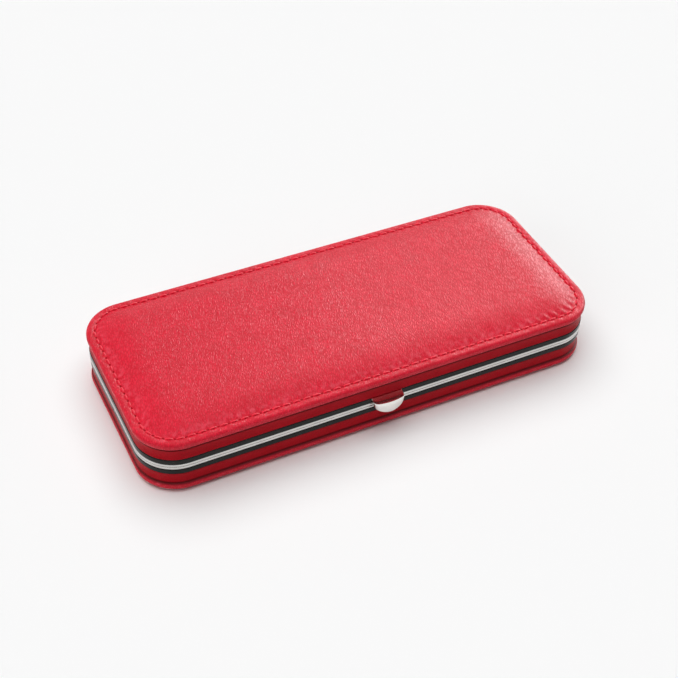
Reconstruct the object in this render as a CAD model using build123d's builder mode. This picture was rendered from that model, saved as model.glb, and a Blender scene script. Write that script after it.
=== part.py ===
from build123d import *
import math
import os

os.makedirs("parts", exist_ok=True)

# A framed manicure case: two leather-covered halves on nickel frames, hinged at the
# back and held shut by a thumb catch at the front. Millimetres. The origin is on the
# surface the case rests on, under its middle: +X along the case, -Y to the catch, +Z up.

# ---------------------------------------------------------------- driving dimensions
case_length = 140.0        # over the leather lips, along X
case_depth = 60.0          # over the leather lips, along Y
corner_radius = 12.0       # plan corner of the lips
lid_crown = 2.2            # how far the top padding rises over the lip
base_crown = 0.8           # the same under the base, pressed flat by what it rests on

skin = 0.8                 # cover leather
board = 0.8                # stiffening board in the panels
parting_gap = 0.05         # from each frame bead to the parting plane
bead_height = 0.83         # bright metal bead
trim_height = 1.8          # black strip
band_height = 3.72         # red side band
bead_inset = 0.25          # how far each layer stands in from the lips
trim_inset = 0.30
band_inset = 0.40
band_thickness = 1.0       # side band, board and leather together
flange_height = 0.8        # turned-in foot of the side band, under the panel
flange_width = 5.0
band_round = 0.45          # rounding of the side band's edges
trim_round = 0.3
bead_round = 0.35
frame_thickness = 0.8      # sheet of the metal frame
lining_thickness = 0.8
lining_floor = 1.0         # lining on its card
turned_edge = 8.4          # from the lip to the end of the turned-in leather
lip_round = 1.15           # rounding of the lip, above and below

stitch_inset = 2.5         # stitch line from the lip's edge
stitch_pitch = 3.0
stitch_length = 2.3
thread_width = 0.5
furrow_width = 0.7
furrow_depth = 0.25
crown_gap = 0.25           # from the furrow to the foot of the padding
crown_run = 10.9           # over which the padding rises to its flat middle
crown_flattening = 2.4     # power of the padding's rise; more is flatter in the middle
crown_softening = 0.5      # loss of plan corner radius per millimetre up the padding
trim_joint = 0.15          # butt joint of the black strip, on the left side

hinge_spread = 38.0        # hinge middles from the case's middle
hinge_length = 16.0
knuckle_count = 3
knuckle_radius = 1.25
knuckle_gap = 0.15         # between neighbouring knuckles
pin_radius = 0.6
running_fit = 0.03         # radial, pin in a knuckle that turns
tight_fit = 0.01           # radial, pin in a part that it doesn't turn in
axis_reach = 0.75          # hinge axis behind the lips
leaf_thickness = 0.6
leaf_height = 4.6
leaf_rise = 0.25           # leaf's edge over the bead's rim
leaf_play = 0.05           # between leaf and side band
web_thickness = 0.65
pocket_gap = 0.2           # round anything let into a wall
rivet_radius = 0.6
rivet_head_radius = 1.1
rivet_head_height = 0.45
rivet_rise = 0.93          # rivet line over the black strip
rivet_spread = 4.5

tab_width = 9.4            # thumb tab over its ends
tab_reach = 2.9            # in front of the lips
tab_thickness = 0.8
tab_play = 0.13            # tab's top under the side band
tab_lip_side = 2.1         # drop of the tab's lip at its ends
tab_lip_middle = 4.0       # drop of the tab's lip in the middle
tab_bow = 0.6              # how far the tab's front edge bows out
tab_round = 0.75           # bend between the tab's top and its lip
tab_setoff = 0.2           # between the tab's back edge and the frame
neck_width = 7.0           # catch, where it passes through the frame
window_sill = 0.12         # foot of the neck's window over the bead
barrel_radius = 1.05
barrel_width = 7.8
pivot_setback = 2.2        # catch pivot behind the frame's inner face
pivot_height = 2.7         # catch pivot over the parting plane
hook_width = 4.8
hook_thickness = 1.0
hook_drop = 2.0            # hook's foot under the parting plane
nose_height = 0.8
nose_edge = 0.28           # upright face at the nose's tip
nose_engagement = 0.45     # nose behind the strike plate's face
catch_clearance = 0.05     # nose under the strike window's edge
tail_length = 2.2
tail_rise = 0.6            # tail's top over the pivot
tail_thickness = 0.8
bracket_thickness = 0.6
bracket_roof = 0.4
bracket_length = 5.2
strike_height = 3.6
strike_width = 9.0
strike_play = 0.25         # strike plate's top edge under the bead's rim
spring_strip = 0.2
spring_width = 4.0
spring_length = 1.6
spring_inset = 0.1         # spring's bend inside the bracket's end
spring_play = 0.02         # spring's foot over the tail
spring_foot = 0.2          # how far the foot falls short of the upper leaf

loop_count = 5             # tool loops in each half
loop_pitch = 9.8
loop_width = 7.0           # inside one loop
loop_height = 4.1
strap_thickness = 0.5
strap_width = 12.0
strap_tail = 2.0           # flat end of the strap
strap_offset = 22.0        # strap's middle from the case's middle
loop_round = 1.2           # inside corner of a loop

# ---------------------------------------------------------------- heights and walls
# Heights are measured from the parting plane, outwards in each half.
trim_bottom = parting_gap + bead_height
band_bottom = trim_bottom + trim_height
lip_bottom = band_bottom + band_height
lip_height = 2 * skin + board
board_bottom = lip_bottom + skin
padding_bottom = board_bottom + board
lip_top = lip_bottom + lip_height
flange_bottom = lip_bottom - flange_height
floor_bottom = flange_bottom - lining_floor
parting_height = lip_top + base_crown

frame_outer = band_inset + band_thickness
frame_inner = frame_outer + frame_thickness
lining_inner = frame_inner + lining_thickness
flange_inner = frame_outer + flange_width
crown_inset = stitch_inset + furrow_width / 2 + crown_gap

frame_face = case_depth / 2 - frame_outer        # outer face of the frame, front or back
frame_back = case_depth / 2 - frame_inner        # its inner face
lining_face = case_depth / 2 - lining_inner

lid_side = Plane(origin=(0, 0, parting_height), x_dir=(1, 0, 0), z_dir=(0, 0, 1))
base_side = Plane(origin=(0, 0, parting_height), x_dir=(-1, 0, 0), z_dir=(0, 0, -1))
side_view = Plane(origin=(0, 0, parting_height), x_dir=(0, 1, 0), z_dir=(1, 0, 0))
front_view = Plane(origin=(0, 0, parting_height), x_dir=(1, 0, 0), z_dir=(0, -1, 0))


def outline(inset, mode=Mode.ADD):
    """The case's rounded outline, drawn in by inset."""
    RectangleRounded(
        case_length - 2 * inset, case_depth - 2 * inset, corner_radius - inset, mode=mode
    )


def ring(outer, inner):
    """A band of the outline between two insets."""
    outline(outer)
    outline(inner, mode=Mode.SUBTRACT)


def crown_outline(inset):
    """Outline of the padding, whose corners stay soft as it is drawn in."""
    radius = corner_radius - crown_inset - crown_softening * (inset - crown_inset)
    RectangleRounded(case_length - 2 * inset, case_depth - 2 * inset, radius)


def crown_sections(crown):
    """Inset and rise of the padding's sections, from its foot to its flat middle."""
    shares = (0.0, 0.12, 0.3, 0.6, 1.0)
    rises = [crown * (1 - (1 - share) ** crown_flattening) for share in shares]
    return [(crown_inset + share * crown_run, rise) for share, rise in zip(shares, rises)]


def box_cut(plane, x, y, height):
    """Cut away a block given by its span in x, y and height over the parting plane."""
    with BuildPart(mode=Mode.PRIVATE) as block:
        with BuildSketch(plane.offset(height[0])):
            with Locations(((x[0] + x[1]) / 2, (y[0] + y[1]) / 2)):
                Rectangle(x[1] - x[0], y[1] - y[0])
        extrude(amount=height[1] - height[0])
    add(block.part, mode=Mode.SUBTRACT)


# ---------------------------------------------------------------- places of the hinges
hinge_y = case_depth / 2 + axis_reach
leaf_y = frame_face + leaf_thickness / 2
leaf_bottom = parting_gap + leaf_rise
leaf_middle = leaf_bottom + leaf_height / 2
web_middle = leaf_bottom + web_thickness / 2
knuckle_length = (hinge_length - (knuckle_count - 1) * knuckle_gap) / knuckle_count
knuckle_step = knuckle_length + knuckle_gap
knuckle_places = [(i - (knuckle_count - 1) / 2) * knuckle_step for i in range(knuckle_count)]
hinge_places = (("left", -hinge_spread), ("right", hinge_spread))
rivet_height = band_bottom + rivet_rise
rivet_places = [x + s * rivet_spread for _, x in hinge_places for s in (-1, 1)]

# ---------------------------------------------------------------- places of the catch
pivot_y = -frame_back + pivot_setback
tab_top = band_bottom - tab_play
tab_front = -case_depth / 2 - tab_reach
window_half = neck_width / 2 + pocket_gap
window_bottom = trim_bottom + window_sill
window_top = tab_top + pocket_gap
strike_half = strike_width / 2
strike_top = -parting_gap - strike_play
strike_face = -frame_back + bracket_thickness
nose_top = -hook_drop + nose_height
hook_half = hook_width / 2
ear_inner = barrel_width / 2 + pocket_gap
ear_outer = ear_inner + bracket_thickness
roof_bottom = floor_bottom - bracket_roof
tail_top = pivot_height + tail_rise
bracket_end = -frame_back + bracket_length

# ================================================================ the two halves
for half, side, crown, x_sign in (
    ("lid", lid_side, lid_crown, 1),
    ("base", base_side, base_crown, -1),
):
    # Foam pad on the board, crowned, and drawn down to nothing at the stitch line.
    with BuildPart() as padding:
        for inset, rise in crown_sections(crown):
            with BuildSketch(side.offset(padding_bottom + rise)):
                crown_outline(inset)
        loft()
    padding.part.label = f"{half}_padding"
    export_step(padding.part, f"parts/{half}_padding.step")

    # Board that keeps the panel flat.
    with BuildPart() as stiffener:
        with BuildSketch(side.offset(board_bottom)):
            outline(skin)
        extrude(amount=board)
    stiffener.part.label = f"{half}_board"
    export_step(stiffener.part, f"parts/{half}_board.step")

    # Card that levels the space inside the turned-in leather.
    with BuildPart() as card:
        with BuildSketch(side.offset(flange_bottom)):
            outline(turned_edge + pocket_gap)
        extrude(amount=board_bottom - flange_bottom)
    card.part.label = f"{half}_filler_card"
    export_step(card.part, f"parts/{half}_filler_card.step")

    # Leather of the panel: round lip, furrow of the seam, crown over the padding.
    with BuildPart() as cover:
        with BuildSketch(side.offset(lip_bottom)):
            outline(0)
        extrude(amount=lip_height)
        fillet(cover.faces().filter_by(Plane.XY).edges(), lip_round)
        with BuildSketch(side.offset(lip_top - furrow_depth)):
            ring(stitch_inset - furrow_width / 2, stitch_inset + furrow_width / 2)
        extrude(amount=furrow_depth, mode=Mode.SUBTRACT)
        for inset, rise in crown_sections(crown):
            with BuildSketch(side.offset(lip_top + rise)):
                crown_outline(inset)
        loft()
        with BuildSketch(side.offset(lip_bottom)):
            outline(turned_edge)
        extrude(amount=skin, mode=Mode.SUBTRACT)
        add(stiffener.part, mode=Mode.SUBTRACT)
        add(padding.part, mode=Mode.SUBTRACT)
    cover.part.label = f"{half}_cover"
    export_step(cover.part, f"parts/{half}_cover.step")

    # Seam round the panel: one stitch per pitch, lying in the furrow.
    seam = RectangleRounded(
        case_length - 2 * stitch_inset,
        case_depth - 2 * stitch_inset,
        corner_radius - stitch_inset,
        mode=Mode.PRIVATE,
    ).wire()
    stitch_count = round(seam.length / stitch_pitch)
    with BuildPart() as stitching:
        with BuildSketch(side.offset(lip_top - furrow_depth)):
            for i in range(stitch_count):
                middle = seam @ ((i + 0.5) / stitch_count)
                run = seam % ((i + 0.5) / stitch_count)
                with Locations((middle.X, middle.Y)):
                    turn = math.degrees(math.atan2(run.Y, run.X))
                    SlotOverall(stitch_length, thread_width, rotation=turn)
        extrude(amount=thread_width)
    stitching.part.label = f"{half}_stitching"
    export_step(stitching.part, f"parts/{half}_stitching.step")

    # Red side band with its turned-in foot, hollowed behind for the hinge leaves.
    with BuildPart() as band:
        with BuildSketch(side.offset(band_bottom)):
            ring(band_inset, frame_outer)
        extrude(amount=band_height)
        rims = [f.outer_wire().edges() for f in band.faces().filter_by(Plane.XY)]
        fillet([edge for rim in rims for edge in rim], band_round)
        with BuildSketch(side.offset(flange_bottom)):
            ring(frame_outer, flange_inner)
        extrude(amount=flange_height)
        for _, x in hinge_places:
            box_cut(
                side,
                (x - hinge_length / 2 - pocket_gap, x + hinge_length / 2 + pocket_gap),
                (frame_face, frame_face + leaf_thickness + leaf_play),
                (band_bottom, leaf_bottom + leaf_height + pocket_gap),
            )
    band.part.label = f"{half}_band"
    export_step(band.part, f"parts/{half}_band.step")

    # Black strip between band and bead, broken at the hinges and at its butt joint.
    with BuildPart() as trim:
        with BuildSketch(side.offset(trim_bottom)):
            ring(trim_inset, frame_outer)
        extrude(amount=trim_height)
        rims = [f.outer_wire().edges() for f in trim.faces().filter_by(Plane.XY)]
        fillet([edge for rim in rims for edge in rim], trim_round)
        for _, x in hinge_places:
            box_cut(
                side,
                (x - hinge_length / 2 - pocket_gap, x + hinge_length / 2 + pocket_gap),
                (frame_face, hinge_y),
                (trim_bottom, band_bottom),
            )
        joint_x = sorted((-x_sign * case_length / 2, -x_sign * (case_length / 2 - frame_outer)))
        box_cut(side, joint_x, (-trim_joint / 2, trim_joint / 2), (trim_bottom, band_bottom))
        if half == "lid":
            tab_half = tab_width / 2 + pocket_gap
            box_cut(
                side,
                (-tab_half, tab_half),
                (-case_depth / 2, -frame_face),
                (trim_bottom, band_bottom),
            )
    trim.part.label = f"{half}_trim"
    export_step(trim.part, f"parts/{half}_trim.step")

    # Nickel frame: rounded bead at the rim and a skirt that carries band and lining.
    with BuildPart() as frame:
        with BuildSketch(side.offset(parting_gap)):
            ring(bead_inset, frame_inner)
        extrude(amount=bead_height)
        rims = [f.outer_wire().edges() for f in frame.faces().filter_by(Plane.XY)]
        fillet([edge for rim in rims for edge in rim], bead_round)
        with BuildSketch(side.offset(trim_bottom)):
            ring(frame_outer, frame_inner)
        extrude(amount=flange_bottom - trim_bottom)
        for _, x in hinge_places:
            box_cut(
                side,
                (x - hinge_length / 2 - pocket_gap, x + hinge_length / 2 + pocket_gap),
                (frame_face, hinge_y),
                (parting_gap, trim_bottom),
            )
        with BuildSketch(Plane.XZ.offset(-frame_face)):
            with Locations(*[(x, parting_height + x_sign * rivet_height) for x in rivet_places]):
                Circle(rivet_radius + tight_fit)
        extrude(amount=frame_thickness, mode=Mode.SUBTRACT)
        if half == "lid":
            box_cut(
                side,
                (-window_half, window_half),
                (-frame_face, -frame_back),
                (window_bottom, window_top),
            )
    frame.part.label = f"{half}_frame"
    export_step(frame.part, f"parts/{half}_frame.step")

    # Velour lining: a shallow tray with a wall inside the frame.
    with BuildPart() as lining:
        with BuildSketch(side.offset(trim_bottom / 2)):
            outline(frame_inner)
        extrude(amount=flange_bottom - trim_bottom / 2)
        with BuildSketch(side.offset(trim_bottom / 2)):
            outline(lining_inner)
        extrude(amount=floor_bottom - trim_bottom / 2, mode=Mode.SUBTRACT)
        with BuildSketch(Plane.XZ.offset(-frame_back)):
            with Locations(*[(x, parting_height + x_sign * rivet_height) for x in rivet_places]):
                Circle(rivet_head_radius + pocket_gap / 2)
        extrude(amount=rivet_head_height + tight_fit, mode=Mode.SUBTRACT)
        recess = ear_outer if half == "lid" else strike_half
        recess_top = floor_bottom if half == "lid" else strike_height - strike_top
        box_cut(
            side,
            (-recess - pocket_gap, recess + pocket_gap),
            (-frame_back, -lining_face),
            (trim_bottom / 2, recess_top),
        )
    lining.part.label = f"{half}_lining"
    export_step(lining.part, f"parts/{half}_lining.step")

    # Strap across the tray, raised into a row of tool loops.
    strap_reach = (loop_count - 1) * loop_pitch + loop_width + 2 * (strap_thickness + strap_tail)
    loop_places = [(i - (loop_count - 1) / 2) * loop_pitch for i in range(loop_count)]
    outer_height = loop_height + strap_thickness
    with BuildPart() as loops:
        with BuildSketch(side_view.offset(-x_sign * strap_offset)):
            with Locations(*[(y, x_sign * floor_bottom) for y in loop_places]):
                outer_width = loop_width + 2 * strap_thickness
                RectangleRounded(outer_width, 2 * outer_height, loop_round + strap_thickness)
            with Locations((0, x_sign * floor_bottom)):
                Rectangle(strap_reach, 2 * strap_thickness)
            with Locations(*[(y, x_sign * floor_bottom) for y in loop_places]):
                RectangleRounded(loop_width, 2 * loop_height, loop_round, mode=Mode.SUBTRACT)
            with Locations((0, x_sign * (floor_bottom - outer_height / 2))):
                Rectangle(strap_reach, outer_height, mode=Mode.INTERSECT)
        extrude(amount=strap_width / 2, both=True)
    loops.part.label = f"{half}_tool_loops"
    export_step(loops.part, f"parts/{half}_tool_loops.step")

    # Hinge leaves, riveted to the frame under the band. The base has the outer knuckles.
    own_knuckles = knuckle_places[1::2] if half == "lid" else knuckle_places[0::2]
    bore_fit = running_fit if half == "lid" else tight_fit
    for place, x in hinge_places:
        hinge_view = side_view.offset(x)
        with BuildPart() as leaf:
            with BuildSketch(hinge_view):
                with Locations((leaf_y, x_sign * leaf_middle)):
                    Rectangle(leaf_thickness, leaf_height)
            extrude(amount=hinge_length / 2, both=True)
            for knuckle_x in own_knuckles:
                with BuildSketch(hinge_view.offset(knuckle_x)):
                    with Locations((hinge_y, 0)):
                        Circle(knuckle_radius)
                    with Locations(((leaf_y + hinge_y) / 2, x_sign * web_middle)):
                        Rectangle(hinge_y - leaf_y, web_thickness)
                extrude(amount=knuckle_length / 2, both=True)
            with BuildSketch(hinge_view):
                with Locations((hinge_y, 0)):
                    Circle(pin_radius + bore_fit)
            extrude(amount=hinge_length, both=True, mode=Mode.SUBTRACT)
            with BuildSketch(Plane.XZ.offset(-frame_face - leaf_thickness)):
                with Locations(
                    *[(x + s * rivet_spread, parting_height + x_sign * rivet_height) for s in (-1, 1)]
                ):
                    Circle(rivet_radius + tight_fit)
            extrude(amount=leaf_thickness, mode=Mode.SUBTRACT)
        leaf.part.label = f"{half}_hinge_leaf_{place}"
        export_step(leaf.part, f"parts/{half}_hinge_leaf_{place}.step")

    # Rivets through leaf and frame, flush outside, headed under the lining.
    with BuildPart() as rivets:
        with BuildSketch(Plane.XZ.offset(-frame_face - leaf_thickness)):
            with Locations(*[(x, parting_height + x_sign * rivet_height) for x in rivet_places]):
                Circle(rivet_radius)
        extrude(amount=leaf_thickness + frame_thickness)
        with BuildSketch(Plane.XZ.offset(-frame_back)):
            with Locations(*[(x, parting_height + x_sign * rivet_height) for x in rivet_places]):
                Circle(rivet_head_radius)
        extrude(amount=rivet_head_height)
    rivets.part.label = f"{half}_hinge_rivets"
    export_step(rivets.part, f"parts/{half}_hinge_rivets.step")

# ================================================================ hinge pins
for place, x in hinge_places:
    with BuildPart() as hinge_pin:
        with BuildSketch(side_view.offset(x)):
            with Locations((hinge_y, 0)):
                Circle(pin_radius)
        extrude(amount=hinge_length / 2, both=True)
    hinge_pin.part.label = f"hinge_pin_{place}"
    export_step(hinge_pin.part, f"parts/hinge_pin_{place}.step")

# ================================================================ catch
# Strike plate inside the base frame, with the window that the hook's nose enters.
with BuildPart() as strike:
    with BuildSketch(front_view.offset(frame_back - bracket_thickness)):
        with Locations((0, strike_top - strike_height / 2)):
            Rectangle(strike_width, strike_height)
        window_middle = (-hook_drop - pocket_gap + nose_top + catch_clearance) / 2
        with Locations((0, window_middle)):
            Rectangle(
                hook_width + 2 * pocket_gap,
                nose_height + pocket_gap + catch_clearance,
                mode=Mode.SUBTRACT,
            )
    extrude(amount=bracket_thickness)
strike.part.label = "catch_strike"
export_step(strike.part, "parts/catch_strike.step")

# Bracket inside the lid frame: back plate with the neck's window, roof and two ears.
with BuildPart() as bracket:
    with BuildSketch(side_view):
        with Locations((-frame_back + bracket_length / 2, (window_bottom + floor_bottom) / 2)):
            Rectangle(bracket_length, floor_bottom - window_bottom)
    extrude(amount=ear_outer, both=True)
    with BuildSketch(side_view):
        inner_height = roof_bottom - window_bottom
        inner_length = bracket_length - bracket_thickness
        with Locations((bracket_end - inner_length / 2, window_bottom + inner_height / 2)):
            Rectangle(inner_length, inner_height)
    extrude(amount=ear_inner, both=True, mode=Mode.SUBTRACT)
    box_cut(
        lid_side,
        (-window_half, window_half),
        (-frame_back, strike_face),
        (window_bottom, window_top),
    )
    with BuildSketch(side_view):
        with Locations((pivot_y, pivot_height)):
            Circle(pin_radius + tight_fit)
    extrude(amount=ear_outer, both=True, mode=Mode.SUBTRACT)
    ear_corners = bracket.edges().filter_by(Axis.X).group_by(Axis.Y)[-1].group_by(Axis.Z)[0]
    fillet(ear_corners, bracket_thickness)
bracket.part.label = "catch_bracket"
export_step(bracket.part, "parts/catch_bracket.step")

# Pin that the catch turns on.
with BuildPart() as catch_pin:
    with BuildSketch(side_view):
        with Locations((pivot_y, pivot_height)):
            Circle(pin_radius)
    extrude(amount=ear_outer + pocket_gap, both=True)
catch_pin.part.label = "catch_pin"
export_step(catch_pin.part, "parts/catch_pin.step")

# Thumb catch: flat tab with a rounded drop lip, neck, barrel, hook and tail.
tab_root = -frame_face - tab_setoff
tab_foot = tab_top - tab_lip_middle
with BuildPart() as catch:
    with BuildSketch(side_view):
        with BuildLine():
            Polyline(
                (tab_root, tab_top),
                (tab_front, tab_top),
                (tab_front, tab_foot),
                (tab_front + tab_thickness, tab_foot),
                (tab_front + tab_thickness, tab_top - tab_thickness),
                (tab_root, tab_top - tab_thickness),
                close=True,
            )
        make_face()
    extrude(amount=tab_width / 2, both=True)
    shoulder = catch.edges().filter_by(Axis.X).sort_by(Axis.Y)[:2].sort_by(Axis.Z)[-1]
    fillet(shoulder, tab_round)
    with BuildSketch(front_view.offset(-tab_root)):
        with BuildLine():
            end = tab_top - tab_lip_side
            ThreePointArc((-tab_width / 2, end), (0, tab_foot), (tab_width / 2, end))
            Polyline(
                (tab_width / 2, end),
                (tab_width / 2, tab_top),
                (-tab_width / 2, tab_top),
                (-tab_width / 2, end),
            )
        make_face()
    extrude(amount=tab_root - tab_front, mode=Mode.INTERSECT)
    with BuildSketch(lid_side.offset(tab_top)):
        with BuildLine():
            bow_end = tab_front + tab_bow
            ThreePointArc((-tab_width / 2, bow_end), (0, tab_front), (tab_width / 2, bow_end))
            Polyline(
                (tab_width / 2, bow_end),
                (tab_width / 2, tab_root),
                (-tab_width / 2, tab_root),
                (-tab_width / 2, bow_end),
            )
        make_face()
    extrude(amount=-tab_lip_middle, mode=Mode.INTERSECT)
    with BuildSketch(side_view):
        neck_length = pivot_y - tab_root
        with Locations((pivot_y - neck_length / 2, tab_top - tab_thickness / 2)):
            Rectangle(neck_length, tab_thickness)
    extrude(amount=neck_width / 2, both=True)
    with BuildSketch(side_view):
        with Locations((pivot_y, pivot_height)):
            Circle(barrel_radius)
        with Locations((pivot_y + tail_length / 2, tail_top - tail_thickness / 2)):
            Rectangle(tail_length, tail_thickness)
    extrude(amount=barrel_width / 2, both=True)
    with BuildSketch(side_view):
        nose_tip = strike_face - nose_engagement
        with BuildLine():
            Polyline(
                (pivot_y + hook_thickness / 2, pivot_height),
                (pivot_y + hook_thickness / 2, -hook_drop),
                (pivot_y - hook_thickness / 2, -hook_drop),
                (nose_tip, nose_top - nose_edge),
                (nose_tip, nose_top),
                (pivot_y - hook_thickness / 2, nose_top),
                (pivot_y - hook_thickness / 2, pivot_height),
                close=True,
            )
        make_face()
    extrude(amount=hook_half, both=True)
    with BuildSketch(side_view):
        with Locations((pivot_y, pivot_height)):
            Circle(pin_radius + running_fit)
    extrude(amount=barrel_width, both=True, mode=Mode.SUBTRACT)
catch.part.label = "thumb_catch"
export_step(catch.part, "parts/thumb_catch.step")

# Hairpin leaf spring between the bracket's roof and the catch's tail.
with BuildPart() as spring:
    with BuildSketch(side_view):
        bend_y = bracket_end - spring_inset
        tip_y = bend_y - spring_length
        gap = roof_bottom - tail_top
        with BuildLine():
            Polyline(
                (tip_y, roof_bottom),
                (bend_y, roof_bottom),
                (bend_y, roof_bottom - gap / 2),
                (tip_y + spring_foot, tail_top + spring_play),
                (tip_y + spring_foot, tail_top + spring_play + spring_strip),
                (bend_y - spring_strip, roof_bottom - gap / 2 + spring_strip / 2),
                (bend_y - spring_strip, roof_bottom - spring_strip),
                (tip_y, roof_bottom - spring_strip),
                close=True,
            )
        make_face()
    extrude(amount=spring_width / 2, both=True)
spring.part.label = "catch_spring"
export_step(spring.part, "parts/catch_spring.step")
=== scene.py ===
import functools
import math

import bmesh
import bpy
import numpy as np
from mathutils import Matrix, Vector, noise


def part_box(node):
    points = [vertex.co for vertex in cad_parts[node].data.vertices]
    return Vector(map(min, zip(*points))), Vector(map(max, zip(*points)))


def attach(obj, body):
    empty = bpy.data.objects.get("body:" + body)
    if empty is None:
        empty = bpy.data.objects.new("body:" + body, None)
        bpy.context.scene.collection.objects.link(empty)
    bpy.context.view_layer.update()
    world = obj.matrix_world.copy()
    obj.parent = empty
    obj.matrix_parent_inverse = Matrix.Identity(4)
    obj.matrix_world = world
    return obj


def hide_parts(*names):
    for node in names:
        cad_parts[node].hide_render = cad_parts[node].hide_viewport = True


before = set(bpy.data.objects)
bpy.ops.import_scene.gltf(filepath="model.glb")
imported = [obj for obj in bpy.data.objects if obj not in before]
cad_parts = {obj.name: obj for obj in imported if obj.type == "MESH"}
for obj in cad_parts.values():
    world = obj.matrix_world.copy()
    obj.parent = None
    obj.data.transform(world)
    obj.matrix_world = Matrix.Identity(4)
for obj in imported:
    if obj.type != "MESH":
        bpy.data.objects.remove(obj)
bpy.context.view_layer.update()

# The manicure case as it looks: grained red leather over soft pads, black strips, nickel
# beads and catch, black velour inside. Mesh code works in millimetres; MM turns them into
# the frame's metres. "Height" is measured outwards from the parting plane in each half, and
# "inset" inwards from the edge of the lips.
MM = 0.001


# ------------------------ sizes
def low(node):
    """Low corner of a CAD node's box, in millimetres."""
    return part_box(node)[0] / MM


def high(node):
    """High corner of a CAD node's box, in millimetres."""
    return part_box(node)[1] / MM


CORNER = 12.0
LIP_HEIGHT = 2.4
SKIN = 0.8
BAND_DEEP = 1.0
FLANGE_HEIGHT = 0.8
FLANGE_WIDE = 5.0
LINING_FLOOR = 1.0
LINING_WALL = 0.8
SEAM_INSET = 2.5
STITCH_PITCH = 3.0
PAD_FOOT = 3.1
PAD_RUN = 10.9
TURNED_EDGE = 8.4

PARTING = (low("lid_frame").z + high("base_frame").z) / 2
HALF_LENGTH = high("lid_cover").x
HALF_DEPTH = -low("lid_cover").y
BAND_INSET = HALF_LENGTH - high("lid_band").x
LINING_INSET = HALF_LENGTH - high("lid_lining").x
STRIP_HIGH = high("lid_trim").z - PARTING
LIP_LOW = high("lid_band").z - PARTING
LIP_HIGH = LIP_LOW + LIP_HEIGHT
LIP_ROUND = LIP_HEIGHT / 2
LID_CROWN = high("lid_cover").z - PARTING - LIP_HIGH
BASE_CROWN = PARTING - LIP_HIGH
LINING_TOP = low("lid_lining").z - PARTING
FLOOR_BACK = high("lid_lining").z - PARTING
FLOOR_FACE = FLOOR_BACK - LINING_FLOOR

# ------------------------ outline of the case
LONG_STEPS = 250
SHORT_STEPS = 78
ARC_STEPS = 36
CROWN_SOFTENING = 0.5
LEAST_CORNER = 2.5


def corner_at(inset):
    """Plan corner radius of a ring: true offsets at the lip, softer ones over the pad."""
    if inset <= PAD_FOOT:
        return CORNER - inset
    soft = CORNER - PAD_FOOT - CROWN_SOFTENING * (inset - PAD_FOOT)
    return max(min(max(soft, LEAST_CORNER), HALF_DEPTH - inset), 0.0)


def ring_at(inset, corner=None):
    """Plan points of the outline drawn in by inset, anticlockwise from the front left."""
    a, b = HALF_LENGTH - inset, HALF_DEPTH - inset
    r = corner_at(inset) if corner is None else corner
    along, across = a - r, b - r
    steps = (LONG_STEPS, SHORT_STEPS, LONG_STEPS, SHORT_STEPS)
    starts = ((-along, -b), (a, -across), (along, b), (-a, across))
    ends = ((along, -b), (a, across), (-along, b), (-a, -across))
    centres = ((along, -across), (along, across), (-along, across), (-along, -across))
    points = []
    for side in range(4):
        share = np.arange(steps[side])[:, None] / steps[side]
        start, end = np.array(starts[side]), np.array(ends[side])
        points.append(start + (end - start) * share)
        turn = math.radians(90 * (side - 1)) + np.arange(ARC_STEPS) / ARC_STEPS * math.pi / 2
        points.append(np.array(centres[side]) + r * np.stack([np.cos(turn), np.sin(turn)], 1))
    return np.concatenate(points)


SEAM = ring_at(SEAM_INSET)
SEAM_RUN = np.concatenate([[0], np.cumsum(np.linalg.norm(np.diff(SEAM, axis=0), axis=1))])
SEAM_LENGTH = SEAM_RUN[-1] + np.linalg.norm(SEAM[0] - SEAM[-1])
STITCHES = round(SEAM_LENGTH / STITCH_PITCH)
PITCH = SEAM_LENGTH / STITCHES

# ------------------------ mesh makers
WELD = 0.002


def linked_object(name, data):
    made = bpy.data.objects.new(name, data)
    bpy.context.collection.objects.link(made)
    return made


def smooth_object(name, verts, faces, weld=0.0):
    """A smooth-shaded object from points in millimetres."""
    mesh = bpy.data.meshes.new(name)
    mesh.from_pydata([tuple(v) for v in np.asarray(verts) * MM], [], faces)
    work = bmesh.new()
    work.from_mesh(mesh)
    if weld:
        bmesh.ops.remove_doubles(work, verts=work.verts, dist=weld * MM)
    bmesh.ops.recalc_face_normals(work, faces=work.faces)
    for face in work.faces:
        face.smooth = True
    work.to_mesh(mesh)
    work.free()
    return linked_object(name, mesh)


def grid_faces(rows, columns, wrap_rows, wrap_columns):
    """Quads of a grid of points, stored row by row."""
    faces = []
    for i in range(rows if wrap_rows else rows - 1):
        for j in range(columns if wrap_columns else columns - 1):
            i2, j2 = (i + 1) % rows, (j + 1) % columns
            faces.append((i * columns + j, i * columns + j2, i2 * columns + j2, i2 * columns + j))
    return faces


def capped_tube(first, rows, sides):
    """Faces of a tube whose points start at first: its quads and both its ends."""
    last = first + (rows - 1) * sides
    faces = [tuple(first + k for k in quad) for quad in grid_faces(rows, sides, False, True)]
    faces.append(tuple(first + k for k in range(sides)))
    faces.append(tuple(last + k for k in reversed(range(sides))))
    return faces


def swept_object(name, rows, wrap_rows=False, weld=0.0):
    """A piece from closed rings of points, one row after another."""
    faces = grid_faces(len(rows), len(rows[0]), wrap_rows, True)
    return smooth_object(name, np.concatenate(rows), faces, weld)


def in_half(half, plan, height):
    """Points of a half: plan in millimetres, heights outwards from the parting plane."""
    up = 1 if half == "lid" else -1
    return np.column_stack([plan, PARTING + up * np.asarray(height) * np.ones(len(plan))])


def object_in_half(name, half, verts, faces):
    """A piece of a half from points in (x, y, height)."""
    verts = np.array(verts)
    return smooth_object(f"{half}_{name}", in_half(half, verts[:, :2], verts[:, 2]), faces)


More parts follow.
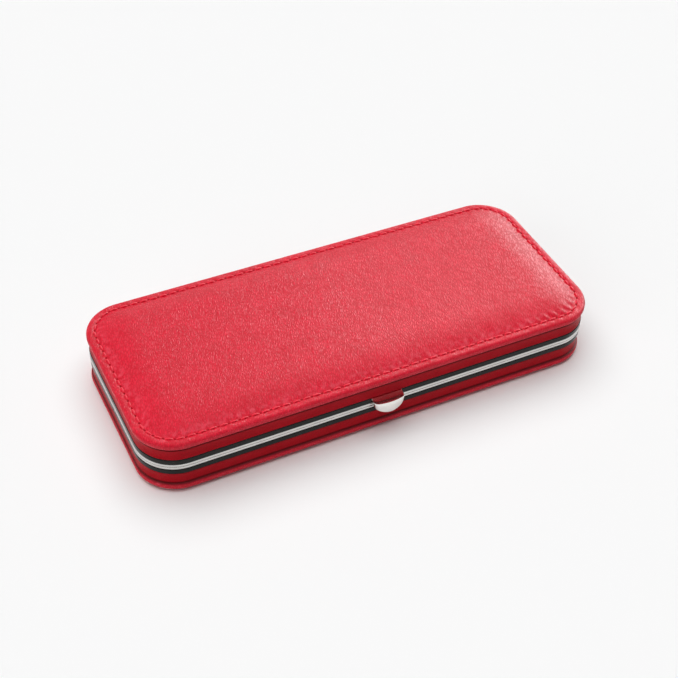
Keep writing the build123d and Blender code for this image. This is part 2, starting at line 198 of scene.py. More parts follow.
def rounded(points, radius, steps=4):
    """A closed profile with its corners rounded; radius may be one number or one each."""
    radii = radius if isinstance(radius, (list, tuple)) else [radius] * len(points)
    corners = [np.array(point, float) for point in points]
    out = []
    for i, (corner, r) in enumerate(zip(corners, radii)):
        if r <= 0:
            out.append(corner)
            continue
        before, after = corners[i - 1], corners[(i + 1) % len(corners)]
        start = corner + (before - corner) / np.linalg.norm(before - corner) * r
        end = corner + (after - corner) / np.linalg.norm(after - corner) * r
        for k in range(steps + 1):
            t = k / steps
            out.append((1 - t) ** 2 * start + 2 * t * (1 - t) * corner + t * t * end)
    return out


# ------------------------ padded panels
CROWN_POWER = 2.4
LIP_STEPS = 20
LIP_SQUARENESS = 0.82
PANEL_FINE_FROM = 8.0
PANEL_FINE_STEP = 0.2
PANEL_COARSE_RINGS = 38
PANEL_UNDERSIDE = 3.0
POCKET_MOUTH, POCKET_END = 1.2, 0.9
LEATHER_BACK_RINGS = (PAD_FOOT, 4.0, 5.5, 7.5, 10.0, 12.0, PAD_FOOT + PAD_RUN, 20.0, HALF_DEPTH)
FOAM_RINGS = (3.6, 4.2, 5.0, 6.0, 7.5, 9.0, 11.0, PAD_FOOT + PAD_RUN, 20.0, HALF_DEPTH)
FOAM_UNDER_RINGS = (HALF_DEPTH, 12.0, PAD_FOOT + 0.1)
FOAM_PLAY = 0.01

# Relief of the leather: how high each form is, how far it spreads, where it fades in.
FURROW_DEEP, FURROW_WIDE = 0.22, 0.46
LIP_PULL_HIGH, LIP_PULL_INSET, LIP_PULL_WIDE = 0.03, 1.6, 0.6
PUCKER_HIGH, PUCKER_FROM_SEAM, PUCKER_WIDE = 0.17, 1.2, 1.0
PUCKER_LEAST, PUCKER_SPREAD, PUCKER_LONG = 0.6, 0.8, 7.0
GATHER_HIGH, GATHER_LONG, GATHER_WIDE, GATHER_FADE = 0.18, 4.2, 6.0, 4.0
WAVE_HIGH, WAVE_LONG, WAVE_WIDE, WAVE_FADE = 0.12, 21.0, 15.0, (3.0, 9.0)
PEBBLE_HIGH, PEBBLE_LONG, PEBBLE_WIDE, PEBBLE_FADE = 0.035, 2.4, 1.9, (3.0, 6.0)
PEBBLE_EDGE, PEBBLES_TURN, PEBBLES_FROM_LEFT = 2.2, 0.4, (18.0, 62.0)
RIPPLE_HIGH, RIPPLE_LONG, RIPPLE_WIDE, RIPPLE_FADE = 0.03, 1.9, 4.4, (3.0, 5.0)
SLANT = 5.0
CLEAR_OF_EDGE, CLEAR_OF_SEAM = (0.6, 1.4), (0.15, 0.7)


def smoothstep(value, start, end):
    t = min(max((value - start) / (end - start), 0.0), 1.0)
    return t * t * (3 - 2 * t)


def bell(value, middle, wide):
    """1 at the middle, falling off smoothly on both sides."""
    return math.exp(-((value - middle) / wide) ** 2)


def pad_rise(inset, crown):
    """How far the pad lifts the leather over the lip."""
    share = min(max((inset - PAD_FOOT) / PAD_RUN, 0.0), 1.0)
    return crown * (1 - (1 - share) ** CROWN_POWER)


def leather_relief(x, y, inset, run, seed):
    """Small heights of the leather over its smooth form; each noise has its own offset."""
    away = max(inset - SEAM_INSET, 0.0)
    tug = math.cos(2 * math.pi * run / PITCH)
    tuck = noise.noise((run / PUCKER_LONG, seed, 0.0))
    furrow = -FURROW_DEEP * bell(inset, SEAM_INSET, FURROW_WIDE)
    lip_pull = LIP_PULL_HIGH * tug * bell(inset, LIP_PULL_INSET, LIP_PULL_WIDE)
    pucker = PUCKER_HIGH * tug * (PUCKER_LEAST + PUCKER_SPREAD * tuck)
    pucker *= bell(away, PUCKER_FROM_SEAM, PUCKER_WIDE)
    gather = GATHER_HIGH * noise.noise((run / GATHER_LONG, away / GATHER_WIDE, seed + 3.0))
    gather *= math.exp(-away / GATHER_FADE)
    wave = WAVE_HIGH * noise.noise((x / WAVE_LONG, y / WAVE_WIDE, seed + 7.0))
    wave *= smoothstep(inset, *WAVE_FADE)
    crease = noise.noise((x / PEBBLE_LONG + y / SLANT, y / PEBBLE_WIDE, seed + 11.0))
    pebbles = PEBBLE_HIGH * smoothstep(x + PEBBLES_TURN * y, *PEBBLES_FROM_LEFT)
    pebbles *= (1 - abs(crease) * PEBBLE_EDGE) * smoothstep(inset, *PEBBLE_FADE)
    ripple = noise.noise((x / RIPPLE_LONG + y / SLANT, y / RIPPLE_WIDE, seed + 13.0))
    ripple *= RIPPLE_HIGH * smoothstep(inset, *RIPPLE_FADE)
    clear = smoothstep(inset, *CLEAR_OF_EDGE)
    clear *= smoothstep(abs(inset - SEAM_INSET), *CLEAR_OF_SEAM)
    return furrow + (lip_pull + pucker + gather) * clear + wave + pebbles + ripple


def panel_rows(crown):
    """(inset, height, outside) of the leather, from the middle outside to the middle inside."""
    coarse = np.linspace(HALF_DEPTH, PANEL_FINE_FROM, PANEL_COARSE_RINGS)[:-1]
    fine = np.arange(PANEL_FINE_FROM, LIP_ROUND, -PANEL_FINE_STEP)
    rows = [(inset, LIP_HIGH + pad_rise(inset, crown), True) for inset in (*coarse, *fine)]
    for k in range(LIP_STEPS + 1):
        turn = math.pi / 2 - math.pi * k / LIP_STEPS
        out = LIP_ROUND * max(math.cos(turn), 0.0) ** LIP_SQUARENESS
        lift = LIP_ROUND * abs(math.sin(turn)) ** LIP_SQUARENESS
        height = LIP_LOW + LIP_ROUND + math.copysign(lift, math.sin(turn))
        rows.append((LIP_ROUND - out, height, k <= LIP_STEPS // 2))
    board_low, board_high = LIP_LOW + SKIN, LIP_LOW + 2 * SKIN
    turned_in = (
        (PANEL_UNDERSIDE, LIP_LOW), (TURNED_EDGE, LIP_LOW), (TURNED_EDGE, board_low),
        (POCKET_MOUTH, board_low), (POCKET_END, board_low),
        (POCKET_END, board_high), (POCKET_MOUTH, board_high),
    )
    rows += [(inset, height, False) for inset, height in turned_in]
    back = board_high + 2 * FOAM_PLAY
    rows += [(inset, back + pad_rise(inset, crown), False) for inset in LEATHER_BACK_RINGS]
    return rows


def padded_panel(half, crown, seed):
    """The leather of a panel: crown, furrow and puckers of the seam, round lip, turned edge."""
    points = []
    for inset, height, outside in panel_rows(crown):
        plan = ring_at(inset)
        heights = np.full(len(plan), height)
        if outside:
            for k, (x, y) in enumerate(plan):
                heights[k] += leather_relief(x, y, inset, SEAM_RUN[k], seed)
        if outside and half == "base":
            heights = np.minimum(heights, LIP_HIGH + crown)
        points.append(in_half(half, plan, heights))
    return swept_object(f"{half}_panel_leather", points, weld=WELD)


def foam_pad(half, crown):
    """The foam under the leather, flat on its board."""
    under = LIP_LOW + 2 * SKIN + FOAM_PLAY
    rows = [(inset, under) for inset in FOAM_UNDER_RINGS]
    rows += [(inset, under + pad_rise(inset, crown) - 2 * FOAM_PLAY) for inset in FOAM_RINGS]
    points = [in_half(half, ring_at(inset), height) for inset, height in rows]
    return swept_object(f"{half}_foam_pad", points, weld=WELD)


# ------------------------ seam
THREAD_SECTIONS, THREAD_SIDES = 11, 12
THREAD_RADIUS, THREAD_SWELL = 0.225, 0.035
STITCH_RISE, STITCH_SINK, STITCH_ARCH = 0.38, 0.28, 0.55
PLIES, PLY_DEEP, PLY_TWIST = 3, 0.11, 5.2
STITCH_START, STITCH_SHARE, STITCH_SHARE_SPREAD = 0.14, 0.72, 0.05
STITCH_LEAN = 0.10
WOBBLE_STEP, LEAN_STEP = 0.73, 1.31
SEAM_SINK = 0.08
HOLE_SIDES, HOLE_RINGS = 10, 3
HOLE_LONG, HOLE_WIDE = 0.34, 0.30
HOLE_FACE, HOLE_DISH, HOLE_DEEP = 0.19, 0.05, 0.42


def seam_point(run):
    """Plan point, direction and outward normal of the seam at a length along it."""
    run %= SEAM_LENGTH
    k = int(np.searchsorted(SEAM_RUN, run, side="right")) - 1
    step = SEAM[(k + 1) % len(SEAM)] - SEAM[k]
    direction = step / np.linalg.norm(step)
    point = SEAM[k] + direction * (run - SEAM_RUN[k])
    return point, direction, np.array([direction[1], -direction[0]])


def add_stitch(verts, faces, line, start, length, lift, scale=1.0, lean=0.0):
    """One stitch of three-ply thread, rising out of one needle hole and into the next."""
    first = len(verts)
    for u in range(THREAD_SECTIONS):
        share = u / (THREAD_SECTIONS - 1)
        point, _, normal = line(start + length * share)
        arch = math.sin(math.pi * share) ** STITCH_ARCH
        rise = lift + (STITCH_RISE * arch - STITCH_SINK) * scale
        point = point + normal * lean * (share - 0.5) * 2
        thick = (THREAD_RADIUS + THREAD_SWELL * arch) * scale
        for v in range(THREAD_SIDES):
            turn = 2 * math.pi * v / THREAD_SIDES
            ply = 1 + PLY_DEEP * math.cos(PLIES * (turn - PLY_TWIST * share))
            plan = point + normal * thick * ply * math.cos(turn)
            verts.append((*plan, rise + thick * ply * math.sin(turn)))
    faces.extend(capped_tube(first, THREAD_SECTIONS, THREAD_SIDES))


def seam_thread(half, seed):
    """The row of stitches in the furrow of a panel."""
    verts, faces = [], []
    for i in range(STITCHES):
        wobble = noise.noise((i * WOBBLE_STEP, seed, 5.0))
        lean = STITCH_LEAN * noise.noise((i * LEAN_STEP, seed, 9.0))
        length = PITCH * (STITCH_SHARE + STITCH_SHARE_SPREAD * wobble)
        start = (i + STITCH_START) * PITCH
        add_stitch(verts, faces, seam_point, start, length, LIP_HIGH - SEAM_SINK, lean=lean)
    return object_in_half("seam_thread", half, verts, faces)


def needle_holes(half):
    """The mouths of the needle holes between the stitches, as shallow cups, darkened by painted
    shade in their material.
    """
    rows = HOLE_RINGS + 1
    verts, faces = [], []
    for i in range(STITCHES):
        point, direction, normal = seam_point(i * PITCH)
        first = len(verts)
        for k in range(1, rows + 1):
            share = min(k / HOLE_RINGS, 1.0)
            lift = LIP_HIGH - HOLE_FACE + HOLE_DISH * share * share
            if k == rows:
                lift = LIP_HIGH - HOLE_DEEP
            for v in range(HOLE_SIDES):
                turn = 2 * math.pi * v / HOLE_SIDES
                along = HOLE_LONG * math.cos(turn) * direction
                across = HOLE_WIDE * math.sin(turn) * normal
                verts.append((*(point + share * (along + across)), lift))
        faces.extend(capped_tube(first, rows, HOLE_SIDES))
    return object_in_half("needle_holes", half, verts, faces)


# ------------------------ side bands
COVE_DEEP = 0.36
BAND_LIP_INSET = 0.08
BAND_EDGE_ROUND, COVE_ROUND = 0.28, 1.50
BAND_FACE_DEEP = 0.9
BAND_WAVE_HIGH, BAND_WAVE_LONG, BAND_WAVE_WIDE = 0.035, 5.5, 3.0


def side_band(half, seed):
    """Red leather over the side board: hollowed a little, with its foot under the panel."""
    outer, inner = BAND_INSET, BAND_INSET + BAND_DEEP
    foot, flange_low = inner + FLANGE_WIDE, LIP_LOW - FLANGE_HEIGHT
    outline = [
        (inner, STRIP_HIGH), (outer, STRIP_HIGH), (outer + COVE_DEEP, (STRIP_HIGH + LIP_LOW) / 2),
        (outer + BAND_LIP_INSET, LIP_LOW), (foot, LIP_LOW), (foot, flange_low), (inner, flange_low),
    ]
    radii = [0, BAND_EDGE_ROUND, COVE_ROUND, BAND_EDGE_ROUND, 0, 0, 0]
    rows = []
    for inset, height in rounded(outline, radii, steps=7):
        plan = ring_at(inset, CORNER - inset)
        if inset < outer + BAND_FACE_DEEP:
            for k in range(len(plan)):
                place_in_noise = (SEAM_RUN[k] / BAND_WAVE_LONG, height / BAND_WAVE_WIDE, seed)
                plan[k] *= 1 - BAND_WAVE_HIGH * noise.noise(place_in_noise) / HALF_LENGTH
        rows.append(in_half(half, plan, height))
    return swept_object(f"{half}_side_band", rows, wrap_rows=True)


# ------------------------ lining and tool loops
CATCH_RECESS_HALF, CATCH_RECESS_SKIN = 4.9, 0.03
LINING_HOLLOW, LINING_HOLLOW_STEPS = 1.2, 6
LINING_FLOOR_RINGS = (HALF_DEPTH, 20.0, 8.0, 5.0)
LINING_WALL_HEIGHTS = (2.4, 1.4)
LINING_RIM = ((LINING_WALL, 0.35), (0.68, 0.1), (0.4, 0.0), (0.12, 0.1), (0.0, 0.3))
LINING_WAVE_HIGH, LINING_WAVE_LONG = 0.05, 18.0
LOOPS = 5
LOOP_PITCH = 9.8
LOOP_WIDE = 7.0
LOOP_FOOT, LOOP_SHOULDER, SHOULDER_STEPS = 0.35, 1.5, 6
STRAP_THICK = 0.5
STRAP_EDGE_ROUND = 0.22
TACKS = 5
TACK_MARGIN = 0.9
TACK_START, TACK_SHARE, TACK_SCALE = 0.12, 0.76, 0.75


def lining_rows():
    """(inset, height) of the lining, from the middle of its face round to its back."""
    wall = LINING_INSET + LINING_WALL
    rows = [(inset, FLOOR_FACE) for inset in LINING_FLOOR_RINGS]
    for k in range(LINING_HOLLOW_STEPS + 1):
        turn = math.pi / 2 * k / LINING_HOLLOW_STEPS
        inset = wall + LINING_HOLLOW - LINING_HOLLOW * math.sin(turn)
        rows.append((inset, FLOOR_FACE - LINING_HOLLOW + LINING_HOLLOW * math.cos(turn)))
    rows += [(wall, height) for height in LINING_WALL_HEIGHTS]
    rows += [(LINING_INSET + inwards, LINING_TOP + drop) for inwards, drop in LINING_RIM]
    return rows + [(LINING_INSET, FLOOR_BACK), (HALF_DEPTH, FLOOR_BACK)]


def lining_tray(half):
    """Velour tray: soft wall top, hollow corner, floor; let in for the catch at the front."""
    recess_front = -(HALF_DEPTH - LINING_INSET - CATCH_RECESS_SKIN)
    points = []
    for inset, height in lining_rows():
        plan = ring_at(inset)
        heights = np.full(len(plan), height)
        over_wall = LINING_INSET < inset < LINING_INSET + LINING_WALL + 0.01
        for k, (x, y) in enumerate(plan):
            at_catch = y < 0 and abs(x) < CATCH_RECESS_HALF
            if over_wall and at_catch and height < FLOOR_FACE - 0.5:
                plan[k][1] = recess_front
            if inset > 5.0 and height == FLOOR_FACE:
                wave = noise.noise((x / LINING_WAVE_LONG, y / LINING_WAVE_LONG, 3.0))
                heights[k] += LINING_WAVE_HIGH * wave
        points.append(in_half(half, plan, heights))
    return swept_object(f"{half}_lining_tray", points, weld=WELD)


def strap_line():
    """Middle line of the strap across the tray: (y, lift) points over the lining."""
    flat = STRAP_THICK / 2
    crest = high("base_tool_loops").z - low("base_tool_loops").z - flat
    reach = high("base_tool_loops").y
    half_wide = LOOP_WIDE / 2 + flat
    rise = [(half_wide + LOOP_FOOT, flat), (half_wide, flat + LOOP_FOOT)]
    rise.append((half_wide, crest - LOOP_SHOULDER))
    for k in range(1, SHOULDER_STEPS):
        turn = math.pi / 2 * k / SHOULDER_STEPS
        back = LOOP_SHOULDER * (1 - math.cos(turn))
        rise.append((half_wide - back, crest - LOOP_SHOULDER * (1 - math.sin(turn))))
    rise.append((half_wide - LOOP_SHOULDER, crest))
    line = [(-reach, flat)]
    for i in range(LOOPS):
        middle = (i - (LOOPS - 1) / 2) * LOOP_PITCH
        line += [(middle - out, lift) for out, lift in rise]
        line.append((middle, crest))
        line += [(middle + out, lift) for out, lift in reversed(rise)]
    line.append((reach, flat))
    return np.array(line)


def tool_loops(half):
    """The strap, raised into a row of loops, with soft edges."""
    line = strap_line()
    run = np.gradient(line, axis=0)
    run /= np.linalg.norm(run, axis=1)[:, None]
    side = np.column_stack([-run[:, 1], run[:, 0]])
    start, end = low(f"{half}_tool_loops").x, high(f"{half}_tool_loops").x
    wide, thick, middle = (end - start) / 2, STRAP_THICK / 2, (end + start) / 2
    corners = [(-wide, -thick), (wide, -thick), (wide, thick), (-wide, thick)]
    section = rounded(corners, STRAP_EDGE_ROUND, steps=3)
    verts = []
    for (y, lift), normal in zip(line, side):
        for across, out in section:
            height = FLOOR_FACE - (lift + normal[1] * out)
            verts.append((middle + across, y + normal[0] * out, height))
    faces = capped_tube(0, len(line), len(section))
    return object_in_half("loop_strap", half, verts, faces)


def across_strap(start, y, run):
    """Plan point, direction and normal on a line across the strap, for add_stitch."""
    return np.array([start + run, y]), np.array([1.0, 0.0]), np.array([0.0, -1.0])


def loop_tacks(half):
    """Rows of stitches across the strap, which hold it down between its loops."""
    start = low(f"{half}_tool_loops").x + TACK_MARGIN
    end = high(f"{half}_tool_loops").x - TACK_MARGIN
    pitch = (end - start) / TACKS
    verts, faces = [], []
    for row in range(LOOPS + 1):
        line = functools.partial(across_strap, start, (row - LOOPS / 2) * LOOP_PITCH)
        for k in range(TACKS):
            first = (k + TACK_START) * pitch
            add_stitch(verts, faces, line, first, TACK_SHARE * pitch, 0.0, scale=TACK_SCALE)
    verts = np.array(verts)
    points = in_half(half, verts[:, :2], FLOOR_FACE - STRAP_THICK - verts[:, 2])
    return smooth_object(f"{half}_loop_tacks", points, faces)


# ------------------------ catch
TAB_HALF = high("thumb_catch").x
TAB_FRONT = low("thumb_catch").y
TAB_PLAY, TAB_SETOFF, TAB_ROOT_INSET = 0.13, 0.32, 1.4
TAB_LIP_MIDDLE, TAB_LIP_SIDE = 4.0, 1.9
TAB_TOP = STRIP_HIGH - TAB_PLAY
TAB_FOOT, TAB_SIDE_FOOT = TAB_TOP - TAB_LIP_MIDDLE, TAB_TOP - TAB_LIP_SIDE
TAB_ROOT = -(HALF_DEPTH - TAB_ROOT_INSET) - TAB_SETOFF
TAB_SLOPE = 0.38
TAB_FLAT = 0.8
TAB_SHEET = 0.8
TAB_BOW = 0.8
TAB_BEND = 0.4
TAB_TUCK = 0.22
TAB_END_LONG, TAB_END_ROUND = 1.2, 1.1
TAB_CORNER_LONG, TAB_CORNER_ROUND = 0.9, 0.8
TAB_FLAT_DROP, TAB_MIDDLE_DROP = 0.03, 0.45
TAB_ACROSS, TAB_BEND_STEPS, TAB_FACE_STEPS = 41, 9, 12
TAB_EDGE_ROUND = 0.13
PIVOT_Y = (low("catch_pin").y + high("catch_pin").y) / 2
PIVOT_UP = (low("catch_pin").z + high("catch_pin").z) / 2 - PARTING
HOOK_FOOT = low("thumb_catch").z - PARTING
HOOK_HALF_THICK = 0.5
STRIKE_INSET, STRIKE_SHEET, NOSE_ENGAGEMENT = 2.2, 0.6, 0.45
NOSE_TIP = -(HALF_DEPTH - STRIKE_INSET) + STRIKE_SHEET - NOSE_ENGAGEMENT
NOSE_HEIGHT, NOSE_EDGE = 0.8, 0.28
TAIL_END = high("thumb_catch").y
TAIL_RISE = 0.6
ARM_SHEET = 0.8
ARM_EDGE_ROUND = 0.08
SHARP_FROM = 35
ARM_ROOT, NECK_OVERLAP, NECK_TAPER, HOOK_ROOT = 0.9, 0.3, 0.02, 0.8
BARREL_RADIUS, BORE_RADIUS = 1.05, 0.63
BARREL_HALF, NECK_HALF, HOOK_HALF = 3.9, 3.5, 2.4


def applied(made):
    """Apply a piece's modifiers to its mesh."""
    evaluated = made.evaluated_get(bpy.context.evaluated_depsgraph_get())
    shape = bpy.data.meshes.new_from_object(evaluated)
    made.modifiers.clear()
    made.data = shape
    return made


def softened(made, width, segments, limit):
    """Round the edges sharper than the limit, in degrees, and apply it."""
    bevel = made.modifiers.new("soft edges", "BEVEL")
    bevel.width = width * MM
    bevel.segments = segments
    bevel.limit_method = "ANGLE"
    bevel.angle_limit = math.radians(limit)
    bevel.harden_normals = False
    return applied(made)


def end_round(x, length, radius):
    """How far a rounded end has curved back at x: from 0 to the radius, over its length."""
    share = min(max((abs(x) - TAB_HALF + length) / length, 0.0), 1.0)
    return radius * (1 - math.sqrt(max(1 - share * share, 0.0)))


def tab_profile(x):
    """(y, height) points of the tab's outer face at x, from its root to the lip's foot."""
    bow = (x / TAB_HALF) ** 2
    front = TAB_FRONT + TAB_BOW * bow + end_round(x, TAB_END_LONG, TAB_END_ROUND)
    foot = TAB_FOOT + (TAB_SIDE_FOOT - TAB_FOOT) * bow
    foot += end_round(x, TAB_CORNER_LONG, TAB_CORNER_ROUND)
    crest = TAB_TOP - TAB_SLOPE
    bend_y, bend_height = front + TAB_BEND, crest - TAB_BEND
    points = [(TAB_ROOT, TAB_TOP), (TAB_ROOT - TAB_FLAT, TAB_TOP - TAB_FLAT_DROP)]
    points.append(((TAB_ROOT + bend_y) / 2, TAB_TOP - TAB_MIDDLE_DROP * TAB_SLOPE))
    for k in range(TAB_BEND_STEPS):
        turn = math.pi / 2 * k / (TAB_BEND_STEPS - 1)
        y, height = bend_y - TAB_BEND * math.sin(turn), bend_height + TAB_BEND * math.cos(turn)
        points.append((y, height))
    for k in range(1, TAB_FACE_STEPS + 1):
        t = k / TAB_FACE_STEPS
        points.append((front + TAB_TUCK * t * t, bend_height - (bend_height - foot) * t))
    return points


def thumb_tab():
    """The tab that the thumb presses: flat on top, domed in front, with a rounded lip."""
    verts = []
    for i in range(TAB_ACROSS):
        x = TAB_HALF * math.sin(math.pi / 2 * (2 * i / (TAB_ACROSS - 1) - 1))
        profile = tab_profile(x)
        verts += [(x, y, PARTING + height) for y, height in profile]
    made = smooth_object("thumb_tab", verts, grid_faces(TAB_ACROSS, len(profile), False, False))
    if made.data.polygons[0].normal.z < 0:
        made.data.flip_normals()
    sheet = made.modifiers.new("sheet", "SOLIDIFY")
    sheet.thickness = TAB_SHEET * MM
    sheet.offset = -1
    sheet.use_even_offset = False
    return softened(applied(made), TAB_EDGE_ROUND, segments=3, limit=50)


def arm_piece(name, outline, half_width, bore=None):
    """A part of the catch's arm: a side view in (y, height), as wide as 2 half_width."""
    count = len(outline)
    ends = (-half_width, half_width)
    verts = [(x, y, PARTING + h) for x in ends for y, h in outline]
    faces = [(k, (k + 1) % count, count + (k + 1) % count, count + k) for k in range(count)]
    if bore is None:
        faces += [tuple(range(count)), tuple(count + k for k in reversed(range(count)))]
    else:
        verts += [(x, y, PARTING + h) for x in ends for y, h in bore]
        inner = 2 * count
        for k in range(count):
            k2 = (k + 1) % count
            faces.append((inner + k, inner + k2, inner + count + k2, inner + count + k))
            faces.append((k, k2, inner + k2, inner + k))
            faces.append((count + k, count + k2, inner + count + k2, inner + count + k))
    made = softened(smooth_object(name, verts, faces), ARM_EDGE_ROUND, segments=2, limit=30)
    made.data.set_sharp_from_angle(angle=math.radians(SHARP_FROM))
    return made


def round_outline(y, height, radius, steps=40):
    turns = [2 * math.pi * k / steps for k in range(steps)]
    return [(y + radius * math.cos(t), height + radius * math.sin(t)) for t in turns]


def catch_arm():
    """Neck, hook, tail and barrel behind the tab, one casting with it."""
    neck_back, neck_front = PIVOT_Y - ARM_ROOT, TAB_ROOT - NECK_OVERLAP
    neck = [
        (neck_back, TAB_TOP), (neck_front, TAB_TOP - NECK_TAPER),
        (neck_front, TAB_TOP - ARM_SHEET + NECK_TAPER), (neck_back, TAB_TOP - ARM_SHEET),
    ]
    hook_back, hook_front = PIVOT_Y + HOOK_HALF_THICK, PIVOT_Y - HOOK_HALF_THICK
    hook_top, nose_top = PIVOT_UP - HOOK_ROOT, HOOK_FOOT + NOSE_HEIGHT
    hook = [
        (hook_back, hook_top), (hook_back, HOOK_FOOT), (hook_front, HOOK_FOOT),
        (NOSE_TIP, nose_top - NOSE_EDGE), (NOSE_TIP, nose_top), (hook_front, nose_top),
        (hook_front, hook_top),
    ]
    tail_front, tail_top = PIVOT_Y + ARM_ROOT, PIVOT_UP + TAIL_RISE
    tail_low = tail_top - ARM_SHEET
    tail = [
        (tail_front, tail_top), (TAIL_END, tail_top), (TAIL_END, tail_low), (tail_front, tail_low),
    ]
    barrel = round_outline(PIVOT_Y, PIVOT_UP, BARREL_RADIUS)
    bore = round_outline(PIVOT_Y, PIVOT_UP, BORE_RADIUS)
    return [
        arm_piece("catch_neck", neck, NECK_HALF), arm_piece("catch_hook", hook, HOOK_HALF),
        arm_piece("catch_tail", tail, BARREL_HALF),
        arm_piece("catch_barrel", barrel, BARREL_HALF, bore),
    ]


# ------------------------ shader helpers
VECTOR, NUMBER = "NodeSocketVector", "NodeSocketFloat"


def set_inputs(tree, made, values):
    """Give a node's inputs their values; each is a number, a colour or a socket to link."""
    for key, value in values.items():
        if isinstance(value, bpy.types.NodeSocket):
            tree.links.new(value, made.inputs[key])
        else:
            made.inputs[key].default_value = value
    return made


def add_node(tree, kind, values=None, **settings):
    made = tree.nodes.new(kind)
    for key, value in settings.items():
        setattr(made, key, value)
    return set_inputs(tree, made, values or {})


def maths(tree, operation, a, b=0.0, clamp=False):
    settings = {"operation": operation, "use_clamp": clamp}
    return add_node(tree, "ShaderNodeMath", {0: a, 1: b}, **settings).outputs[0]


def vector_maths(tree, operation, a, b):
    return add_node(tree, "ShaderNodeVectorMath", {0: a, 1: b}, operation=operation).outputs[0]


def remap(tree, value, low_in, high_in, low_out=0.0, high_out=1.0):
    """Smooth step of a value from one range to another."""
    values = {"Value": value, "From Min": low_in, "From Max": high_in}
    values |= {"To Min": low_out, "To Max": high_out}
    made = add_node(tree, "ShaderNodeMapRange", values, interpolation_type="SMOOTHSTEP")
    return made.outputs["Result"]


def mix_colour(tree, share, a, b):
    return add_node(tree, "ShaderNodeMix", {0: share, 6: a, 7: b}, data_type="RGBA").outputs[2]


def mix_value(tree, share, a, b):
    return add_node(tree, "ShaderNodeMix", {0: share, 2: a, 3: b}, data_type="FLOAT").outputs[0]


def clouds(tree, where, scale, detail, roughness=0.5, distortion=0.0):
    """Outputs of a noise texture at a place."""
    values = {"Vector": where, "Scale": scale, "Detail": detail}
    values |= {"Roughness": roughness, "Distortion": distortion}
    return add_node(tree, "ShaderNodeTexNoise", values).outputs


def new_group(name, inputs, outputs):
    """An empty shader group with named sockets; returns it with its input and output nodes."""
    group = bpy.data.node_groups.new(name, "ShaderNodeTree")
    for label, kind, default in inputs:
        made = group.interface.new_socket(label, in_out="INPUT", socket_type=kind)
        made.default_value = default
    for label in outputs:
        group.interface.new_socket(label, in_out="OUTPUT", socket_type=NUMBER)
    return group, group.nodes.new("NodeGroupInput").outputs, group.nodes.new("NodeGroupOutput")


def use_group(tree, group, values):
    """A shader group placed in a material with its own values; returns its outputs."""
    made = tree.nodes.new("ShaderNodeGroup")
    made.node_tree = group
    return set_inputs(tree, made, values).outputs


def new_material(name):
    """A material with its node tree, its Principled BSDF and the place on the piece in metres."""
    material = bpy.data.materials.new(name)
    material.use_nodes = True
    tree = material.node_tree
    where = add_node(tree, "ShaderNodeTexCoord").outputs["Object"]
    return material, tree, tree.nodes["Principled BSDF"], where


def finish_surface(tree, surface, colour, rough, height, relief):
    """Link a surface's colour, roughness and fine relief, which is given in metres."""
    bump = add_node(tree, "ShaderNodeBump", {"Height": height, "Distance": relief})
    tree.links.new(colour, surface.inputs["Base Color"])
    tree.links.new(rough, surface.inputs["Roughness"])
    tree.links.new(bump.outputs["Normal"], surface.inputs["Normal"])


# ------------------------ shared effects
def grain_cells(group, where, scale, spread):
    """Rounded cells: 0 at their edges, 1 from the spread inwards."""
    values = {"Vector": where, "Scale": scale}
    made = add_node(group, "ShaderNodeTexVoronoi", values, feature="DISTANCE_TO_EDGE")
    return remap(group, made.outputs["Distance"], 0.0, spread)


def leather_grain():
    """Nappa grain: small cells, drawn out one way, turning into coarser pebbles."""
    inputs = [
        ("Place", VECTOR, (0, 0, 0)), ("Stretch", VECTOR, (1, 1, 1)), ("Turn", NUMBER, 0.0),
        ("Cells", NUMBER, 1400.0), ("Coarse", NUMBER, 0.0),
    ]
    group, given, out = new_group(
        "Leather Grain", inputs, ["Height", "Valley", "Mottle", "Wrinkles"]
    )
    values = {"Vector": given["Place"], "Angle": given["Turn"]}
    turned = add_node(group, "ShaderNodeVectorRotate", values, rotation_type="Z_AXIS")
    spread = vector_maths(group, "MULTIPLY", turned.outputs["Vector"], given["Stretch"])
    sway = clouds(group, spread, scale=420.0, detail=2.0)["Color"]
    centred = vector_maths(group, "SUBTRACT", sway, (0.5, 0.5, 0.5))
    values = {0: centred, "Scale": 0.0012}
    shift = add_node(group, "ShaderNodeVectorMath", values, operation="SCALE").outputs[0]
    warped = vector_maths(group, "ADD", spread, shift)
    fine = grain_cells(group, warped, given["Cells"], spread=0.38)
    denser = maths(group, "MULTIPLY", given["Cells"], 2.1)
    sparser = maths(group, "MULTIPLY", given["Cells"], 0.75)
    small = grain_cells(group, warped, denser, spread=0.4)
    pebble = grain_cells(group, warped, sparser, spread=0.24)
    smooth_part = mix_value(group, 0.3, fine, small)
    coarse_part = mix_value(group, 0.35, pebble, fine)
    body = mix_value(group, given["Coarse"], smooth_part, coarse_part)
    pores = clouds(group, given["Place"], scale=5200.0, detail=2.0)["Fac"]
    ridges = clouds(group, warped, scale=680.0, detail=2.0, roughness=0.6)["Fac"]
    from_ridge = maths(group, "ABSOLUTE", maths(group, "SUBTRACT", ridges, 0.5))
    wrinkles = remap(group, from_ridge, 0.0, 0.042, 1.0, 0.0)
    height = mix_value(group, 0.20, mix_value(group, 0.18, body, pores), wrinkles)
    mottle = clouds(group, given["Place"], scale=150.0, detail=4.0, roughness=0.6)["Fac"]
    group.links.new(height, out.inputs["Height"])
    group.links.new(maths(group, "SUBTRACT", 1.0, body, clamp=True), out.inputs["Valley"])
    group.links.new(mottle, out.inputs["Mottle"])
    group.links.new(wrinkles, out.inputs["Wrinkles"])
    return group


